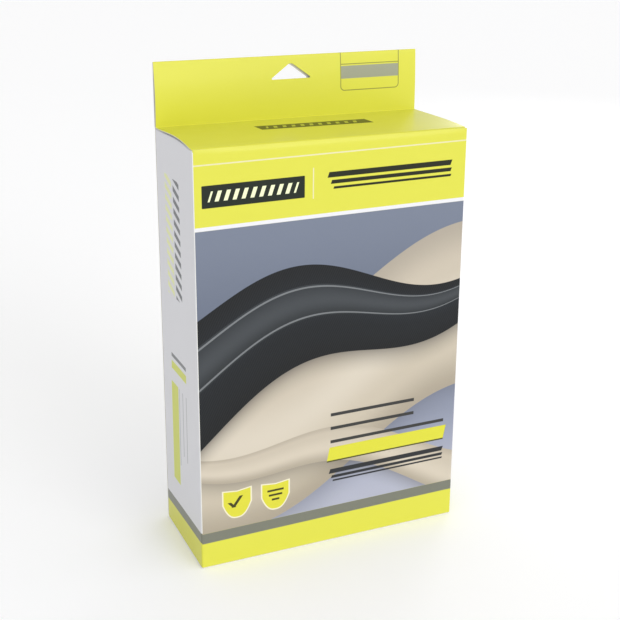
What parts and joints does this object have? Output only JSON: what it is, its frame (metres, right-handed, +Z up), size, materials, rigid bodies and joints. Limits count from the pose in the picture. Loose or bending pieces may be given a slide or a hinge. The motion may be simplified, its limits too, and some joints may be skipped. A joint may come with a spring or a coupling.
{
  "type": "hang-tab retail carton",
  "caption": "Closed upright retail carton of printed folding boxboard, with a folded header, a triangular hang hole, a tuck-in lid and dust flaps.",
  "frame": {"origin": "centre of the base, at the height that the carton stands on", "axes": "+Z up, the printed front faces -Y, +X to the right of someone who looks at the front"},
  "size_m": [0.18, 0.073, 0.31],
  "materials": {
    "picture_print": "gloss laminated four-colour print",
    "white_print": "gloss laminated print on white board",
    "yellow_print": "gloss laminated solid yellow print",
    "bare_board": "uncoated grey-white reverse of the board"
  },
  "bodies": {
    "carton": {"front_panel": "picture_print", "right_panel": "white_print", "back_panel": "white_print", "left_panel": "white_print", "glue_flap": "bare_board", "bottom_outer_flap": "yellow_print", "bottom_inner_flap": "bare_board", "bottom_dust_flap_left": "bare_board", "bottom_dust_flap_right": "bare_board"},
    "header": {"header": "yellow_print"},
    "lid": {"lid": "yellow_print"},
    "tuck": {"tuck_flap": "yellow_print"},
    "dust_left": {"dust_flap_left": "white_print"},
    "dust_right": {"dust_flap_right": "white_print"}
  },
  "joints": [
    {"name": "header_fold", "type": "hinge", "parent": "carton", "child": "header", "pos_m": [0, 0.0365, 0.26985], "axis": [-1, 0, 0], "range_deg": [0, 170]},
    {"name": "lid_hinge", "type": "hinge", "parent": "header", "child": "lid", "pos_m": [0, 0.034, 0.27], "axis": [-1, 0, 0], "range_deg": [0, 65]},
    {"name": "tuck_hinge", "type": "hinge", "parent": "lid", "child": "tuck", "pos_m": [0, -0.0352, 0.26935], "axis": [1, 0, 0], "range_deg": [-8, 60]},
    {"name": "dust_left_hinge", "type": "hinge", "parent": "carton", "child": "dust_left", "pos_m": [-0.0895, 0, 0.26855], "axis": [0, 1, 0], "range_deg": [0, 80]},
    {"name": "dust_right_hinge", "type": "hinge", "parent": "carton", "child": "dust_right", "pos_m": [0.0895, 0, 0.26855], "axis": [0, -1, 0], "range_deg": [0, 80]}
  ]
}
